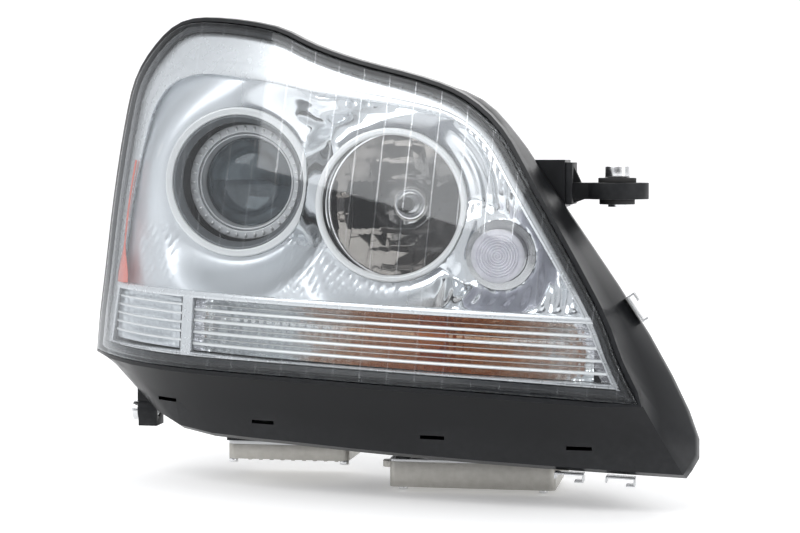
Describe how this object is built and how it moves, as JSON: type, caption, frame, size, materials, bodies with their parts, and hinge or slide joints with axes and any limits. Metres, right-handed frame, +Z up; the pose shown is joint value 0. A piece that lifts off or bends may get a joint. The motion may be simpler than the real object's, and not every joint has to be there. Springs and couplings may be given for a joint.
{
  "type": "car headlight assembly",
  "caption": "Swept clear-lens car headlight with swivelling xenon projector, high beam, parking and turn lamps, aim adjusters, ballast and control unit.",
  "frame": {"origin": "centre of the steel sleeve's bore in the inboard mounting eye", "axes": "+X inboard towards the grille, +Y rearward into the car, +Z up; the lamp shines along -Y"},
  "size_m": [0.5116, 0.3441, 0.3772],
  "materials": {
    "black_plastic": "moulded black polypropylene, fine texture",
    "clear_cover": "hard-coated clear polycarbonate",
    "seal": "butyl or foam sealing rubber",
    "spring_steel": "bright sprung steel",
    "silver_paint": "satin silver lacquer over plastic",
    "chrome_coat": "vacuum metallised mirror coating",
    "red_reflex": "clear red prismatic plastic",
    "amber_glass": "amber bulb glass",
    "clear_glass": "optical glass",
    "lamp_socket": "black glass-filled plastic",
    "die_cast": "grey die casting",
    "bright_alu": "cast aluminium, as cast",
    "plated_steel": "zinc plated steel",
    "white_plastic": "natural acetal plastic",
    "carrier_grey": "glass-filled grey plastic"
  },
  "bodies": {
    "housing": {"housing": "black_plastic", "outer_lens": "clear_cover", "lens_seal": "seal", "lens_clips": "spring_steel", "bezel_frame": "silver_paint", "chrome_panel": "chrome_coat", "projector_shroud": "silver_paint", "high_beam_ring": "chrome_coat", "side_reflex_strip": "red_reflex", "side_lamp_reflector": "chrome_coat", "turn_reflector": "chrome_coat", "turn_louvre": "chrome_coat", "parking_lens": "clear_cover", "parking_reflector": "chrome_coat", "ball_stud": "plated_steel", "levelling_motor": "black_plastic", "xenon_cover": "black_plastic", "xenon_cover_seal": "seal", "high_beam_cover_seal": "seal", "main_connector": "black_plastic", "breather_caps": "black_plastic", "wiring_harness": "seal", "ballast_case": "bright_alu", "ballast_lid": "plated_steel", "control_unit": "bright_alu", "control_unit_lid": "plated_steel", "case_screws": "plated_steel", "mounting_arm": "black_plastic", "arm_bush": "seal", "arm_sleeve": "plated_steel", "foot_bracket": "black_plastic", "foot_insert": "plated_steel", "top_sleeve": "plated_steel"},
    "turn_bulb_unit": {"turn_bulb": "amber_glass", "turn_bulb_holder": "lamp_socket"},
    "parking_bulb_unit": {"parking_bulb": "clear_glass", "parking_bulb_holder": "lamp_socket"},
    "ball_cup": {"ball_cup": "white_plastic"},
    "carrier": {"carrier_frame": "carrier_grey", "high_beam_reflector": "chrome_coat", "high_beam_bulb": "clear_glass", "bulb_spring": "spring_steel", "swivel_motor": "black_plastic"},
    "projector": {"projector_frame": "die_cast", "projector_glass": "clear_glass", "lens_ring": "silver_paint", "lens_holder": "die_cast", "projector_reflector": "chrome_coat", "xenon_bulb": "clear_glass", "igniter": "bright_alu", "shutter_solenoid": "lamp_socket", "swivel_shaft": "plated_steel"},
    "shutter": {"cutoff_shutter": "die_cast"},
    "plunger": {"solenoid_plunger": "plated_steel"},
    "levelling_rod": {"levelling_rod": "white_plastic"},
    "level_adjuster": {"level_adjuster": "plated_steel"},
    "lateral_rod": {"lateral_rod": "plated_steel"},
    "lateral_knob": {"lateral_knob": "white_plastic"},
    "cover_bail": {"cover_bail": "spring_steel"},
    "high_beam_cover": {"high_beam_cover": "black_plastic"}
  },
  "joints": [
    {"name": "lateral_aim", "type": "hinge", "parent": "housing", "child": "ball_cup", "pos_m": [-0.132, 0.088, 0.0305], "axis": [0, 0, 1], "range_deg": [-1.5, 1.5]},
    {"name": "levelling", "type": "hinge", "parent": "ball_cup", "child": "carrier", "pos_m": [-0.132, 0.088, 0.0305], "axis": [1, 0, 0], "range_deg": [-1.5, 3]},
    {"name": "projector_swivel", "type": "hinge", "parent": "carrier", "child": "projector", "pos_m": [-0.308, 0.125, 0.0025], "axis": [0, 0, 1], "range_deg": [-12, 8]},
    {"name": "shutter_flip", "type": "hinge", "parent": "projector", "child": "shutter", "pos_m": [-0.308, 0.11, -0.0295], "axis": [1, 0, 0], "range_deg": [-25, 0]},
    {"name": "solenoid_stroke", "type": "slide", "parent": "projector", "child": "plunger", "axis": [0, 1, 0], "range_m": [-0.0065, 0]},
    {"name": "levelling_stroke", "type": "slide", "parent": "housing", "child": "levelling_rod", "axis": [0, 1, 0], "range_m": [-0.0036, 0.0071]},
    {"name": "level_screw_turn", "type": "hinge", "parent": "housing", "child": "level_adjuster", "pos_m": [-0.132, 0.144, -0.0595], "axis": [0, 0, 1], "continuous": true},
    {"name": "lateral_stroke", "type": "slide", "parent": "housing", "child": "lateral_rod", "axis": [0, 1, 0], "range_m": [-0.0068, 0.0068]},
    {"name": "lateral_knob_turn", "type": "hinge", "parent": "housing", "child": "lateral_knob", "pos_m": [-0.384, 0.18, 0.0305], "axis": [0, 1, 0], "range_deg": [-1640, 1640]},
    {"name": "bail_release", "type": "hinge", "parent": "housing", "child": "cover_bail", "pos_m": [-0.308, 0.223, 0.0795], "axis": [1, 0, 0], "range_deg": [0, 105]},
    {"name": "high_beam_cover_twist", "type": "hinge", "parent": "housing", "child": "high_beam_cover", "pos_m": [-0.168, 0.145, -0.015], "axis": [0, 1, 0], "range_deg": [0, 35]},
    {"name": "turn_holder_twist", "type": "hinge", "parent": "housing", "child": "turn_bulb_unit", "pos_m": [-0.138, -0.002, -0.1135], "axis": [0, 1, 0], "range_deg": [0, 30]},
    {"name": "parking_holder_twist", "type": "hinge", "parent": "housing", "child": "parking_bulb_unit", "pos_m": [-0.085, -0.004, -0.0515], "axis": [0, 1, 0], "range_deg": [0, 30]}
  ],
  "couplings": [
    {"joint": "levelling_stroke", "follows": "levelling", "m_per_rad": 0.132},
    {"joint": "lateral_stroke", "follows": "lateral_aim", "m_per_rad": -0.252},
    {"joint": "lateral_knob_turn", "follows": "lateral_aim", "ratio": -1055.6},
    {"joint": "solenoid_stroke", "follows": "shutter_flip", "m_per_rad": 0.0144}
  ]
}
